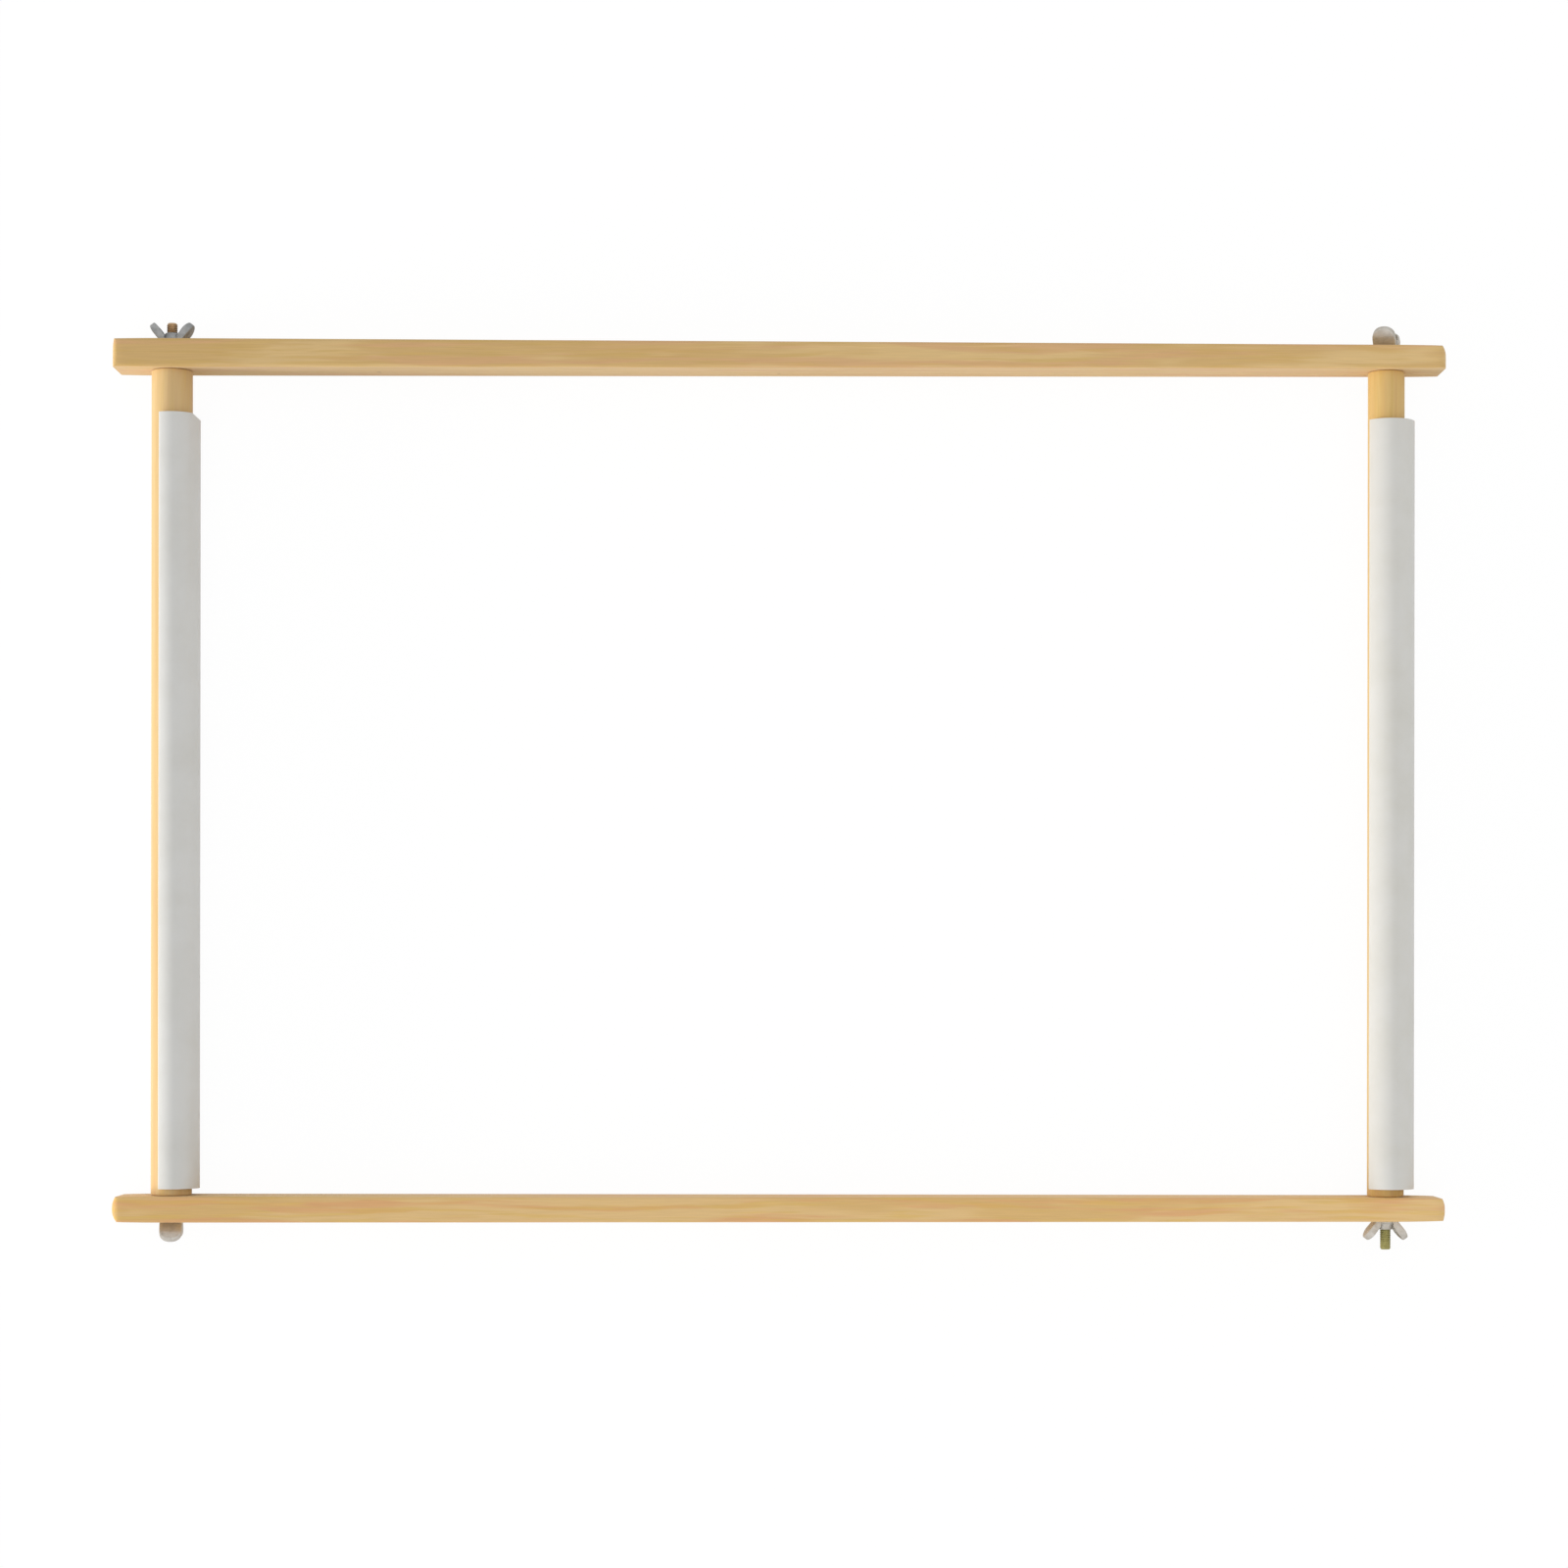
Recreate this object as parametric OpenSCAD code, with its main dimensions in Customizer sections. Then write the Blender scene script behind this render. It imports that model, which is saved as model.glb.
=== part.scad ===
// Embroidery scroll frame, lying on its back with the work facing up (+Z).
// Two side bars run along X and two rollers along Y. A hanger bolt in each end
// of a roller passes through a bar and takes a pressed wing nut, and a springy
// plastic clip holds the fabric round each roller.
// All sizes are in millimetres and all angles in degrees.

/* [Side bars] */
// Length of a side bar
bar_l = 750; // [500:10:1000]
// Width of the top side bar at its middle, seen from the front
top_bar_w = 14.7; // [12:0.1:20]
// Width that the top side bar loses from its left end to its right end
top_bar_taper = 3.2; // [0.2:0.1:4]
// Width of the bottom side bar at its middle, seen from the front
bottom_bar_w = 14.1; // [12:0.1:20]
// Width that the bottom side bar loses from its left end to its right end
bottom_bar_taper = 1.4; // [0.2:0.1:4]
// Depth of a side bar, from its back to its front
bar_d = 30; // [30:0.5:40]
// Radius of a side bar's long edges
bar_edge_r = 1.5; // [0.5:0.25:3]
// Bulge of a bar's end across its width
end_bulge_w = 1.8; // [1:0.1:3]
// Radius that rounds a bar's end over to its front and back
end_round_r = 4; // [4:0.5:8]
// Length of that rounding along the bar
end_round_l = 3.4; // [2:0.2:3.6]
// Distance from a bar's end to the axis of the nearer roller
hole_inset = 31.5; // [24:0.5:60]

/* [Rollers] */
// Diameter of the left roller
left_roller_dia = 23; // [20:0.5:24]
// Diameter of the right roller
right_roller_dia = 20.5; // [20:0.5:24]
// Length of a roller
roller_l = 466; // [300:1:700]
// Chamfer round a roller's ends
roller_chamfer = 0.8; // [0.2:0.1:2]
// Gap between a bar and what turns against it: a roller's end or a wing nut's foot
end_play = 0.1; // [0.05:0.05:0.3]

/* [Fabric clips] */
// Length of the left roller that its clip leaves bare
left_clip_bare = 29; // [10:0.5:250]
// Length of the right roller that its clip leaves bare
right_clip_bare = 32.5; // [10:0.5:250]
// Room for fabric between the thicker roller and a clip's bore
fabric_room = 0.8; // [0.6:0.1:1.2]
// Wall of a clip
clip_wall = 2.4; // [1.6:0.1:2.4]
// Angle that a clip's wall covers round the roller
clip_arc = 250; // [250:2:270]
// Gap between a clip's lips and the thicker roller
lip_gap = 0.15; // [0.1:0.05:0.3]
// Distance from the bottom bar to the left clip
left_clip_gap = 4; // [1:0.5:20]
// Distance from the bottom bar to the right clip
right_clip_gap = 4.5; // [1:0.5:20]
// Direction of the left clip's mouth, from up (0) towards +X (90)
left_mouth = -78; // [-120:1:-60]
// Direction of the right clip's mouth, from up (0) towards +X (90)
right_mouth = -108; // [-120:1:-60]
// Size of the corner that is trimmed off the left clip's upper end
clip_trim = 2; // [1:0.25:2.25]

/* [Hanger bolts] */
// Thread diameter of a hanger bolt
bolt_dia = 6; // [4:0.5:6]
// Length of a hanger bolt
bolt_l = 50; // [46:1:60]
// Length of the wood screw end of a hanger bolt
screw_l = 18; // [12:1:24]
// Core diameter of the wood screw end
screw_dia = 4.4; // [3:0.1:5]
// Chamfer on the free end of a hanger bolt
bolt_chamfer = 0.7; // [0.3:0.1:1]
// Length that each bolt stands out of its bar: top left
stud_top_left = 10.8; // [8:0.2:18]
// Length that each bolt stands out of its bar: top right
stud_top_right = 11.8; // [8:0.2:18]
// Length that each bolt stands out of its bar: bottom left
stud_bottom_left = 10.4; // [8:0.2:18]
// Length that each bolt stands out of its bar: bottom right
stud_bottom_right = 16.4; // [8:0.2:18]
// Running clearance round a bolt, in a bar and in a wing nut
bolt_clearance = 0.1; // [0.05:0.01:0.1]

/* [Wing nuts] */
// Height of a wing nut
nut_h = 11; // [9:0.5:14]
// Span of a wing nut across the tips of its wings
nut_span = 24.5; // [22:0.5:29]
// Width of a wing
wing_w = 12.6; // [10:0.2:14]
// Thickness of a wing over its turned rim
wing_t = 4; // [3:0.1:5]
// Thickness of the sheet that the nut is pressed from
sheet_t = 1.3; // [0.8:0.1:1.8]
// Lean of a wing away from the bolt
wing_lean = 37; // [30:1:42]
// Corner radius of a wing's tip, seen from its flat side
wing_corner_r = 4.6; // [2:0.2:4.8]
// Height of the drawn collar that carries the thread
collar_h = 5; // [4:0.2:6]
// Diameter of the collar at its foot
collar_foot_dia = 10.4; // [9:0.2:12]
// Diameter of the collar at its top
collar_top_dia = 8.2; // [7.4:0.2:9]
// Diameter of the nut's foot on the bar
nut_foot_dia = 12.8; // [10:0.2:15]
// Turn of each nut's wings out of the frame's plane: top left
turn_top_left = 0; // [-90:5:90]
// Turn of each nut's wings out of the frame's plane: top right
turn_top_right = 70; // [-90:5:90]
// Turn of each nut's wings out of the frame's plane: bottom left
turn_bottom_left = 83; // [-90:1:90]
// Turn of each nut's wings out of the frame's plane: bottom right
turn_bottom_right = 0; // [-90:5:90]

/* [Hidden] */
$fn = 48;

// Cutting tools reach this far past what they cut
over = 1;

// Signs of the two rollers along X, and of the two bars along Y
LEFT = -1;
RIGHT = 1;
BOTTOM = -1;
TOP = 1;

// The rollers lie at x = +-roller_x and z = axis_z
roller_x = bar_l / 2 - hole_inset;
axis_z = bar_d / 2;

// Distance from the middle of the rollers to a bar's inner face
inner_y = roller_l / 2 + end_play;

// Width of a bar at the place x along it
function bar_w(end, x) = end == TOP
    ? top_bar_w - top_bar_taper * x / bar_l
    : bottom_bar_w - bottom_bar_taper * x / bar_l;

// Distance from the middle of the rollers to a bar's outer face, at a roller
function outer_y(side, end) = inner_y + bar_w(end, side * roller_x);

// Distance from the middle of the rollers to the furthest fitting beyond a bar
function reach(end, stud_left, stud_right) = max(
    outer_y(LEFT, end) + max(end_play + nut_h, stud_left),
    outer_y(RIGHT, end) + max(end_play + nut_h, stud_right));

// Middle of the rollers, which puts the origin in the middle of the whole frame
mid_y = (reach(BOTTOM, stud_bottom_left, stud_bottom_right)
    - reach(TOP, stud_top_left, stud_top_right)) / 2;

// Lengths of the clips, their radii, and the half angle of their mouths
left_clip_l = 2 * inner_y - left_clip_bare;
right_clip_l = 2 * inner_y - right_clip_bare;
thick_r = max(left_roller_dia, right_roller_dia) / 2;
clip_in_r = thick_r + fabric_room;
clip_mid_r = clip_in_r + clip_wall / 2;
clip_out_r = clip_in_r + clip_wall;
mouth_half = (360 - clip_arc) / 2;

// A slack clip hangs back until its round lips nearly meet the thicker roller
lip_reach = thick_r + lip_gap + clip_wall / 2;
clip_set_back = clip_mid_r * cos(mouth_half)
    - sqrt(lip_reach ^ 2 - (clip_mid_r * sin(mouth_half)) ^ 2);

// Radius of the holes that the bolts turn in
running_r = bolt_dia / 2 + bolt_clearance;

// A wing's round tip, and where the middle of the wing meets the foot's plane
tip_r = wing_t / 2;
tip_x = nut_span / 2 - tip_r;
tip_z = nut_h - tip_r;
wing_root_x = tip_x - tip_z * tan(wing_lean);
wing_l = tip_z / cos(wing_lean);

// Rectangle with round corners, centred
module rounded_rectangle(w, h, r) {
    square([w - 2 * r, h], center = true);
    square([w, h - 2 * r], center = true);
    for (x = [-1, 1], y = [-1, 1])
        translate([x * (w / 2 - r), y * (h / 2 - r)]) circle(r);
}

// Side bar's outline from the front, wider than the bar, with two ends that bulge
// over the bar's width
module bulged_strip(end) {
    intersection_for (side = [LEFT, RIGHT]) {
        w = bar_w(end, side * bar_l / 2);
        r = (w ^ 2 / 4 + end_bulge_w ^ 2) / (2 * end_bulge_w);
        translate([side * (bar_l / 2 - r), w / 2]) {
            circle(r, $fn = 96);
            translate([-(bar_l + side * bar_l) / 2, -r]) square([bar_l, 2 * r]);
        }
    }
}

// Block along X that ends in a flat face with round edges at y = 0
module planed_block() {
    rotate([90, 0, 90]) linear_extrude(bar_l + over, center = true)
        translate([-bar_d, 0]) rounded_rectangle(2 * bar_d, bar_d, bar_edge_r);
}

// Side bar with its straight inner face at y = 0, its outer face towards +Y, and a
// hole for each roller's bolt
module side_bar(end) {
    w = bar_w(end, 0);
    slope = atan((bar_w(end, -bar_l / 2) - w) / (bar_l / 2));
    color("#d6b078") difference() {
        intersection() {
            rotate(180) planed_block();
            translate([0, w, 0]) rotate(-slope) planed_block();
            linear_extrude(bar_d + over, center = true) bulged_strip(end);
            rotate([90, 0, 0]) linear_extrude(4 * bar_d, center = true)
                rounded_rectangle(bar_l + 2 * (end_round_r - end_round_l), bar_d,
                    end_round_r);
        }
        for (side = [LEFT, RIGHT])
            translate([side * roller_x, 0, 0]) rotate([90, 0, 0])
                cylinder(r = running_r, h = 4 * bar_d, center = true);
    }
}

module top_side_bar() {
    translate([0, mid_y + inner_y, axis_z]) side_bar(TOP);
}

module bottom_side_bar() {
    translate([0, mid_y - inner_y, axis_z]) rotate([180, 0, 0]) side_bar(BOTTOM);
}

// Puts a fitting on a roller's axis, dist from the middle of the rollers towards
// one of the bars, and turns its +Z to point at that bar
module on_axis(side, end, dist) {
    translate([side * roller_x, mid_y + end * dist, axis_z])
        rotate([-90 * end, 0, 0]) children();
}

// Length of a bolt inside its roller, for the length that stands out of the bar
function bolt_depth(side, end, stud) =
    bolt_l - stud - bar_w(end, side * roller_x) - end_play;

// Roller with a chamfer and a bolt hole at each end
module roller(side, dia, stud_top, stud_bottom) {
    r = dia / 2;
    color("#e2bd84") difference() {
        on_axis(side, TOP, -roller_l / 2) rotate_extrude() polygon([
            [0, 0], [r - roller_chamfer, 0], [r, roller_chamfer],
            [r, roller_l - roller_chamfer], [r - roller_chamfer, roller_l], [0, roller_l],
        ]);
        for (bolt = [[TOP, stud_top], [BOTTOM, stud_bottom]]) {
            depth = bolt_depth(side, bolt[0], bolt[1]);
            on_axis(side, bolt[0], roller_l / 2 - depth)
                cylinder(d = bolt_dia, h = depth + over);
        }
    }
}

module left_roller() {
    roller(LEFT, left_roller_dia, stud_top_left, stud_bottom_left);
}

module right_roller() {
    roller(RIGHT, right_roller_dia, stud_top_right, stud_bottom_right);
}

// Section of a clip about the roller's axis, with its mouth along +X: a ring cut
// open in front, with a round lip on each cut end
module clip_section() {
    translate([-clip_set_back, 0]) {
        difference() {
            circle(clip_out_r);
            circle(clip_in_r);
            polygon([
                [0, 0],
                2 * clip_out_r * [cos(mouth_half), -sin(mouth_half)],
                [2 * clip_out_r, 0],
                2 * clip_out_r * [cos(mouth_half), sin(mouth_half)],
            ]);
        }
        for (side = [-1, 1])
            rotate(side * mouth_half) translate([clip_mid_r, 0])
                circle(clip_wall / 2, $fn = 32);
    }
}

// Clip on a roller, gap above the bottom bar and with its mouth turned to mouth
module fabric_clip(side, length, gap, mouth) {
    color("#ececea") on_axis(side, TOP, gap - inner_y)
        rotate(mouth - 90) linear_extrude(length) clip_section();
}

// Wedge that trims the corner off the left clip's upper end, right of its roller
module trim_wedge() {
    translate([LEFT * roller_x + clip_out_r + clip_set_back,
            mid_y - inner_y + left_clip_gap + left_clip_l, -over])
        linear_extrude(bar_d + 2 * over)
            polygon([[-clip_trim - over, over], [over, -clip_trim - over], [over, over]]);
}

module left_fabric_clip() {
    difference() {
        fabric_clip(LEFT, left_clip_l, left_clip_gap, left_mouth);
        trim_wedge();
    }
}

module right_fabric_clip() {
    fabric_clip(RIGHT, right_clip_l, right_clip_gap, right_mouth);
}

// Hanger bolt that starts on the foot of its wood screw end and points along +Z
module hanger_bolt() {
    r = bolt_dia / 2;
    color("#a8945a") rotate_extrude() polygon([
        [0, 0], [screw_dia / 4, 0], [screw_dia / 2, screw_dia], [screw_dia / 2, screw_l],
        [r, screw_l], [r, bolt_l - bolt_chamfer], [r - bolt_chamfer, bolt_l], [0, bolt_l],
    ]);
}

// Hanger bolt in its roller, standing stud out of its bar
module fitted_bolt(side, end, stud) {
    on_axis(side, end, outer_y(side, end) + stud - bolt_l) hanger_bolt();
}

module top_left_hanger_bolt() { fitted_bolt(LEFT, TOP, stud_top_left); }

module top_right_hanger_bolt() { fitted_bolt(RIGHT, TOP, stud_top_right); }

module bottom_left_hanger_bolt() { fitted_bolt(LEFT, BOTTOM, stud_bottom_left); }

module bottom_right_hanger_bolt() { fitted_bolt(RIGHT, BOTTOM, stud_bottom_right); }

// Wing seen from its flat side: a tongue with a round-cornered tip, w wide, that
// runs from below the foot to the height l
module tongue(w, l, r) {
    translate([-w / 2, -wing_t]) square([w, l + wing_t - r]);
    translate([r - w / 2, -wing_t]) square([w - 2 * r, l + wing_t]);
    for (x = [-1, 1])
        translate([x * (w / 2 - r), l - r]) circle(r);
}

// Wing seen from its edge: a strip with a round tip, centred on its own length
module wing_edge() {
    translate([-wing_t / 2, -wing_t]) square([wing_t, wing_l + wing_t]);
    translate([0, wing_l]) circle(tip_r);
}

// One wing, pressed to a shallow tray: its rim is turned in towards the bolt
module wing() {
    translate([wing_root_x, 0, 0]) rotate([0, wing_lean, 0]) difference() {
        intersection() {
            rotate([90, 0, 0]) linear_extrude(wing_w + over, center = true) wing_edge();
            rotate([90, 0, 90]) linear_extrude(wing_t + over, center = true)
                tongue(wing_w, wing_l + tip_r, wing_corner_r);
        }
        translate([sheet_t / 2 - wing_t - over, 0, 0]) rotate([90, 0, 90])
            linear_extrude(wing_t - 1.5 * sheet_t + wing_t / 2 + over)
                tongue(wing_w - 2 * sheet_t, wing_l + tip_r - sheet_t,
                    wing_corner_r - sheet_t);
    }
}

// Pressed wing nut that stands on its foot and points along +Z
module wing_nut() {
    color("#b4b4b0") difference() {
        union() {
            intersection() {
                for (side = [0, 180]) rotate(side) wing();
                translate([-nut_span, -nut_span, 0]) cube(2 * nut_span);
            }
            cylinder(d = nut_foot_dia, h = sheet_t);
            cylinder(d1 = collar_foot_dia, d2 = collar_top_dia, h = collar_h);
        }
        translate([0, 0, -over]) cylinder(r = running_r, h = nut_h + over);
    }
}

// Wing nut on its bolt, with its wings turned out of the frame's plane
module fitted_nut(side, end, turn) {
    on_axis(side, end, outer_y(side, end) + end_play) rotate(turn) wing_nut();
}

module top_left_wing_nut() { fitted_nut(LEFT, TOP, turn_top_left); }

module top_right_wing_nut() { fitted_nut(RIGHT, TOP, turn_top_right); }

module bottom_left_wing_nut() { fitted_nut(LEFT, BOTTOM, turn_bottom_left); }

module bottom_right_wing_nut() { fitted_nut(RIGHT, BOTTOM, turn_bottom_right); }

top_side_bar();
bottom_side_bar();
left_roller();
right_roller();
left_fabric_clip();
right_fabric_clip();
top_left_hanger_bolt();
top_right_hanger_bolt();
bottom_left_hanger_bolt();
bottom_right_hanger_bolt();
top_left_wing_nut();
top_right_wing_nut();
bottom_left_wing_nut();
bottom_right_wing_nut();
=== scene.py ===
"""Embroidery scroll frame: pine bars and rollers, plastic clips, hanger bolts and wing nuts.

Sizes are in millimetres and angles in degrees, apart from the studio's sizes, which are in
metres. A piece is built about its own middle or foot, moved to its place in the frame and
then scaled to metres.
"""

import logging
import math
from collections.abc import Iterable
from dataclasses import dataclass, field
from enum import Enum

import bmesh
import bpy
from bmesh.types import BMEdge, BMesh, BMVert
from bpy.types import Material, Mesh, NodeOutputs, NodeSocket, Object, World
from mathutils import Matrix, Vector

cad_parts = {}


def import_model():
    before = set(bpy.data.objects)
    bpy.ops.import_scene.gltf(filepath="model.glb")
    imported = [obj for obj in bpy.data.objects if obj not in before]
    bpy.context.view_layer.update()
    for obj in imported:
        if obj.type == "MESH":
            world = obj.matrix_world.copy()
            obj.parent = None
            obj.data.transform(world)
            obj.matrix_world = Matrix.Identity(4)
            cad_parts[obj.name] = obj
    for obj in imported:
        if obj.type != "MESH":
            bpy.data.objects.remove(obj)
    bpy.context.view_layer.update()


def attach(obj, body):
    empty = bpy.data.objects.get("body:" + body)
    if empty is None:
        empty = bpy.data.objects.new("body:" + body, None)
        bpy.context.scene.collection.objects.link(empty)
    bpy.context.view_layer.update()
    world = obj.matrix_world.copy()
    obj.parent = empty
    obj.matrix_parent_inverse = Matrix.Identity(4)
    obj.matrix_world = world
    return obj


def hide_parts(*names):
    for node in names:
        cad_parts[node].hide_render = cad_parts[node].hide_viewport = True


LOG = logging.getLogger("scroll_frame")
MM = 0.001
WAVE_TURN = math.tau / 20  # a wave texture of scale 1 repeats after this many metres
TOUCH = 1e-3  # points nearer to each other than this, in millimetres, share a place

Point = tuple[float, float]
Colour = tuple[float, float, float, float]
WHITE: Colour = (1.0, 1.0, 1.0, 1.0)


class Way(Enum):
    """A way along one of the frame's axes."""

    def __str__(self) -> str:
        """Returns its word in the names of pieces."""
        return self.name.lower()


class Side(Way):
    """A roller's side of the frame, as its sign along X."""

    LEFT = -1
    RIGHT = 1


class End(Way):
    """A bar's end of the rollers, as its sign along Y."""

    BOTTOM = -1
    TOP = 1


Corner = tuple[Side, End]  # where a roller meets a bar, with a bolt and a nut


@dataclass(frozen=True)
class Layout:
    """Sizes that several pieces share, and the places in the frame that follow from them."""

    bar_length: float = 750
    bar_depth: float = 30
    top_width: float = 14.7
    top_taper: float = 3.2
    bottom_width: float = 14.1
    bottom_taper: float = 1.4
    roller_x: float = 343.5
    roller_length: float = 466
    roller_diameters: dict[Side, float] = field(
        default_factory=lambda: {Side.LEFT: 23, Side.RIGHT: 20.5})
    bolt_length: float = 50
    studs: dict[Corner, float] = field(default_factory=lambda: {
        (Side.LEFT, End.TOP): 10.8, (Side.RIGHT, End.TOP): 11.8,
        (Side.LEFT, End.BOTTOM): 10.4, (Side.RIGHT, End.BOTTOM): 16.4})
    nut_height: float = 11
    play: float = 0.1

    @property
    def inner_y(self) -> float:
        """Returns the way from the rollers' middle to a bar's inner face."""
        return self.roller_length / 2 + self.play

    @property
    def middle_y(self) -> float:
        """Works out the rollers' middle, so that y = 0 is the middle of the whole frame.

        Returns:
            Its place along Y.
        """
        nut = self.outer_y(Side.LEFT, End.TOP) + self.play + self.nut_height
        stud = self.outer_y(Side.RIGHT, End.BOTTOM) + self.studs[Side.RIGHT, End.BOTTOM]
        return (stud - nut) / 2

    def bar_width(self, end: End, x: float) -> float:
        """Works out how wide a tapered bar is at one place.

        Args:
            end: The bar.
            x: The place along it.

        Returns:
            The width there, seen from the front.
        """
        if end is End.TOP:
            return self.top_width - self.top_taper * x / self.bar_length
        return self.bottom_width - self.bottom_taper * x / self.bar_length

    def outer_y(self, side: Side, end: End) -> float:
        """Returns the way from the rollers' middle to a bar's outer face, at a roller."""
        return self.inner_y + self.bar_width(end, side.value * self.roller_x)

    def bolt_tip(self, side: Side, end: End) -> float:
        """Returns the way from the rollers' middle to a bolt's end inside its roller."""
        return self.outer_y(side, end) + self.studs[side, end] - self.bolt_length

    def bar(self, end: End) -> Matrix:
        """Places a side bar.

        Args:
            end: The bar.

        Returns:
            The place of the middle of its inner face, with +Y towards its outer face.
        """
        turn = 0 if end is End.TOP else math.pi
        foot = (0, self.middle_y + end.value * self.inner_y, self.bar_depth / 2)
        return Matrix.Translation(foot) @ Matrix.Rotation(turn, 4, "X")

    def on_axis(self, side: Side, end: End, distance: float, turn: float = 0) -> Matrix:
        """Puts a fitting on a roller's axis with its +Z towards a bar.

        Args:
            side: The roller.
            end: The bar that the fitting points at.
            distance: Way from the rollers' middle towards that bar.
            turn: Turn of the fitting about its own +Z.

        Returns:
            The fitting's place.
        """
        foot = (side.value * self.roller_x, self.middle_y + end.value * distance,
                self.bar_depth / 2)
        return (
            Matrix.Translation(foot)
            @ Matrix.Rotation(math.radians(-90 * end.value), 4, "X")
            @ Matrix.Rotation(math.radians(turn), 4, "Z")
        )


LAYOUT = Layout()


def linear(hex_code: str) -> Colour:
    """Turns an sRGB hex colour into linear light.

    Args:
        hex_code: Six hex digits, such as "E6C08A".

    Returns:
        Red, green, blue and a full alpha.
    """
    parts = (int(hex_code[i : i + 2], 16) / 255 for i in (0, 2, 4))
    red, green, blue = (c / 12.92 if c <= 0.04045 else ((c + 0.055) / 1.055) ** 2.4 for c in parts)
    return red, green, blue, 1.0


class Nodes:
    """The node tree of a material or a world, with short calls for its usual nodes."""

    def __init__(self, owner: Material | World) -> None:
        """Empties the owner's node tree."""
        owner.use_nodes = True
        self.tree = owner.node_tree
        self.tree.nodes.clear()

    def add(self, kind: str, inputs: dict | None = None, **settings: object) -> NodeOutputs:
        """Adds one node.

        Args:
            kind: The node's type, without the prefix that all of them have.
            inputs: What each input gets, by its name or number: a value, or an output to link.
            **settings: The node's own properties.

        Returns:
            Its outputs, by name.
        """
        node = self.tree.nodes.new(f"ShaderNode{kind}")
        for name, value in settings.items():
            setattr(node, name, value)
        for key, value in (inputs or {}).items():
            if isinstance(value, NodeSocket):
                self.tree.links.new(value, node.inputs[key])
            else:
                node.inputs[key].default_value = value
        return node.outputs

    def noise(
        self, place: NodeSocket, size: Iterable[float], detail: float = 2.0,
        roughness: float = 0.55, shift: float = 0.0,
    ) -> NodeOutputs:
        """Adds a noise whose cells may be longer along one axis than along another.

        Args:
            place: Coordinates in metres.
            size: Size of its cells along X, Y and Z.
            detail: Octaves of finer cells in it.
            roughness: Strength of each finer octave.
            shift: Moves the pattern, so that layers don't repeat each other.

        Returns:
            The noise as "Fac", and one for each axis as "Color".
        """
        drawn = self.add("Mapping", {
            "Vector": place, "Scale": [1 / (v * MM) for v in size], "Location": [shift] * 3})
        return self.add("TexNoise", {
            "Vector": drawn["Vector"], "Scale": 1.0, "Detail": detail, "Roughness": roughness})

    def remap(
        self, value: NodeSocket, old: Point, new: Point, smooth: bool = False
    ) -> NodeSocket:
        """Maps a value from one range to another.

        Args:
            value: The value.
            old: Both ends of its range.
            new: What they become.
            smooth: Whether it eases in and out between them.

        Returns:
            The new value.
        """
        ends = dict(zip(("From Min", "From Max", "To Min", "To Max"), old + new))
        ease = "SMOOTHSTEP" if smooth else "LINEAR"
        return self.add("MapRange", {"Value": value, **ends}, interpolation_type=ease)["Result"]

    def mix(self, share: NodeSocket, under: NodeSocket | Colour, over: Colour) -> NodeSocket:
        """Returns a colour with a share, from 0 to 1, of another one over it."""
        return self.add("Mix", {"Factor": share, "A": under, "B": over}, data_type="RGBA")["Result"]

    def shade(self, colour: NodeSocket, factor: NodeSocket) -> NodeSocket:
        """Returns a colour multiplied by a factor."""
        return self.add("VectorMath", {0: colour, "Scale": factor}, operation="SCALE")["Vector"]

    def bump(self, height: NodeSocket, strength: float, relief: float) -> NodeSocket:
        """Returns the normals of a surface whose relief is so many millimetres high."""
        return self.add("Bump", {"Height": height, "Strength": strength,
                                 "Distance": relief * MM})["Normal"]

    def surface(self, inputs: dict) -> None:
        """Ends the tree in a principled surface with these inputs."""
        shader = self.add("BsdfPrincipled", inputs)
        self.add("OutputMaterial", {"Surface": shader["BSDF"]})


def lathe(bm: BMesh, profile: Iterable[Point], steps: int) -> None:
    """Spins a profile a full turn about +Z.

    Args:
        bm: The mesh that takes the turned shape.
        profile: Radius and height of each point. A point on the axis closes the shape.
        steps: Faces round the axis.
    """
    verts = [bm.verts.new((radius, 0, height)) for radius, height in profile]
    edges = [bm.edges.new(pair) for pair in zip(verts, verts[1:])]
    bmesh.ops.spin(
        bm, geom=verts + edges, cent=(0, 0, 0), axis=(0, 0, 1), angle=math.tau,
        steps=steps, use_merge=True, use_duplicate=False,
    )
    bmesh.ops.remove_doubles(bm, verts=bm.verts, dist=TOUCH / 10)


def cut_flat(
    bm: BMesh, known: set[BMVert], point: Iterable[float], normal: Iterable[float]
) -> None:
    """Cuts off what lies beyond a plane, and closes the cut with a flat face.

    Args:
        bm: The mesh.
        known: Vertices of other shapes in it, which are left alone.
        point: A point of the plane.
        normal: Direction from the plane to what is cut off.
    """
    verts = [v for v in bm.verts if v not in known]
    edges = {e for v in verts for e in v.link_edges}
    faces = {f for v in verts for f in v.link_faces}
    cut = bmesh.ops.bisect_plane(
        bm, geom=verts + list(edges) + list(faces), plane_co=point, plane_no=normal,
        clear_outer=True,
    )
    rim = [e for e in cut["geom_cut"] if isinstance(e, BMEdge)]
    bmesh.ops.holes_fill(bm, edges=rim, sides=0)


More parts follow.
